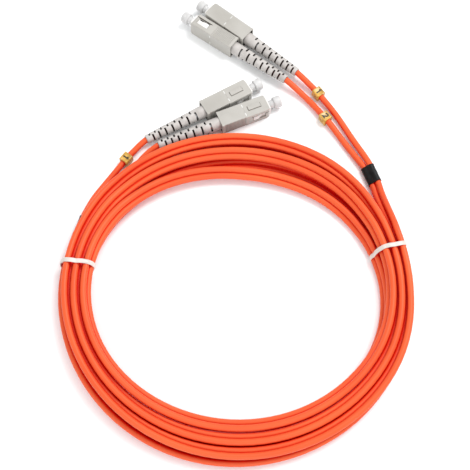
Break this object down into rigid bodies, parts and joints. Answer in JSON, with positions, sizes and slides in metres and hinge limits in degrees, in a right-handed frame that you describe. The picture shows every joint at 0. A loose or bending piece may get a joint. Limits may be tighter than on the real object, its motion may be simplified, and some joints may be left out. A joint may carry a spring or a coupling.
{
  "type": "fiber optic patch cord",
  "caption": "Duplex multimode patch cord: an orange zipcord wound in a tied coil that splits at both ends into marked legs, each with a grey push-pull square plug, slotted boot and dust cap.",
  "frame": {"origin": "on the surface the cord lies on, below the centre of the box round the plugs", "axes": "+Z up from the surface; +Y from the coil towards the plugs; +X to the right, seen from above with +Y up"},
  "size_m": [0.1582, 0.2383, 0.0134],
  "materials": {
    "grip_plastic": "satin moulded",
    "boot_rubber": "satin moulded",
    "frame_plastic": "smooth moulded",
    "ferrule_ceramic": "polished ceramic",
    "plated_metal": "nickel plated",
    "spring_steel": "drawn wire",
    "crimp_metal": "satin",
    "fibre_buffer": "smooth extruded",
    "cap_plastic": "milky translucent",
    "cord_jacket": "satin extruded",
    "marker_plastic": "moulded",
    "sleeve_black": "heat shrunk",
    "tie_white": "smooth"
  },
  "bodies": {
    "cord": {"plug_frame_a1": "frame_plastic", "plug_frame_a2": "frame_plastic", "plug_frame_b1": "frame_plastic", "plug_frame_b2": "frame_plastic", "backbone_a1": "plated_metal", "backbone_a2": "plated_metal", "backbone_b1": "plated_metal", "backbone_b2": "plated_metal", "crimp_sleeve_a1": "crimp_metal", "crimp_sleeve_a2": "crimp_metal", "crimp_sleeve_b1": "crimp_metal", "crimp_sleeve_b2": "crimp_metal", "ferrule_spring_a1": "spring_steel", "ferrule_spring_a2": "spring_steel", "ferrule_spring_b1": "spring_steel", "ferrule_spring_b2": "spring_steel", "boot_a1": "boot_rubber", "boot_a2": "boot_rubber", "boot_b1": "boot_rubber", "boot_b2": "boot_rubber", "leg_a1": "cord_jacket", "leg_a2": "cord_jacket", "leg_b1": "cord_jacket", "leg_b2": "cord_jacket", "leg_marker_a1": "marker_plastic", "leg_marker_a2": "marker_plastic", "leg_marker_b1": "marker_plastic", "leg_marker_b2": "marker_plastic", "cord_coil": "cord_jacket", "split_sleeve_a": "sleeve_black", "split_sleeve_b": "sleeve_black", "tie_left": "tie_white", "tie_right": "tie_white"},
    "grip_a1": {"grip_a1": "grip_plastic"},
    "ferrule_a1": {"ferrule_a1": "ferrule_ceramic", "ferrule_flange_a1": "plated_metal", "fibre_tube_a1": "fibre_buffer"},
    "dust_cap_a1": {"dust_cap_a1": "cap_plastic"},
    "grip_a2": {"grip_a2": "grip_plastic"},
    "ferrule_a2": {"ferrule_a2": "ferrule_ceramic", "ferrule_flange_a2": "plated_metal", "fibre_tube_a2": "fibre_buffer"},
    "dust_cap_a2": {"dust_cap_a2": "cap_plastic"},
    "grip_b1": {"grip_b1": "grip_plastic"},
    "ferrule_b1": {"ferrule_b1": "ferrule_ceramic", "ferrule_flange_b1": "plated_metal", "fibre_tube_b1": "fibre_buffer"},
    "dust_cap_b1": {"dust_cap_b1": "cap_plastic"},
    "grip_b2": {"grip_b2": "grip_plastic"},
    "ferrule_b2": {"ferrule_b2": "ferrule_ceramic", "ferrule_flange_b2": "plated_metal", "fibre_tube_b2": "fibre_buffer"},
    "dust_cap_b2": {"dust_cap_b2": "cap_plastic"}
  },
  "joints": [
    {"name": "grip_pull_a1", "type": "slide", "parent": "cord", "child": "grip_a1", "axis": [0.766, -0.6428, 0], "range_m": [0, 0.0015]},
    {"name": "ferrule_push_a1", "type": "slide", "parent": "cord", "child": "ferrule_a1", "axis": [0.766, -0.6428, 0], "range_m": [0, 0.001], "stiffness_N_per_m": 2000, "deforming": ["ferrule_spring_a1"]},
    {"name": "dust_cap_pull_a1", "type": "slide", "parent": "ferrule_a1", "child": "dust_cap_a1", "axis": [-0.766, 0.6428, 0], "range_m": [0, 0.0054]},
    {"name": "grip_pull_a2", "type": "slide", "parent": "cord", "child": "grip_a2", "axis": [0.8018, -0.5976, 0], "range_m": [0, 0.0015]},
    {"name": "ferrule_push_a2", "type": "slide", "parent": "cord", "child": "ferrule_a2", "axis": [0.8018, -0.5976, 0], "range_m": [0, 0.001], "stiffness_N_per_m": 2000, "deforming": ["ferrule_spring_a2"]},
    {"name": "dust_cap_pull_a2", "type": "slide", "parent": "ferrule_a2", "child": "dust_cap_a2", "axis": [-0.8018, 0.5976, 0], "range_m": [0, 0.0054]},
    {"name": "grip_pull_b1", "type": "slide", "parent": "cord", "child": "grip_b1", "axis": [-0.866, -0.5, 0], "range_m": [0, 0.0015]},
    {"name": "ferrule_push_b1", "type": "slide", "parent": "cord", "child": "ferrule_b1", "axis": [-0.866, -0.5, 0], "range_m": [0, 0.001], "stiffness_N_per_m": 2000, "deforming": ["ferrule_spring_b1"]},
    {"name": "dust_cap_pull_b1", "type": "slide", "parent": "ferrule_b1", "child": "dust_cap_b1", "axis": [0.866, 0.5, 0], "range_m": [0, 0.0054]},
    {"name": "grip_pull_b2", "type": "slide", "parent": "cord", "child": "grip_b2", "axis": [-0.9205, -0.3907, 0], "range_m": [0, 0.0015]},
    {"name": "ferrule_push_b2", "type": "slide", "parent": "cord", "child": "ferrule_b2", "axis": [-0.9205, -0.3907, 0], "range_m": [0, 0.001], "stiffness_N_per_m": 2000, "deforming": ["ferrule_spring_b2"]},
    {"name": "dust_cap_pull_b2", "type": "slide", "parent": "ferrule_b2", "child": "dust_cap_b2", "axis": [0.9205, 0.3907, 0], "range_m": [0, 0.0054]}
  ]
}
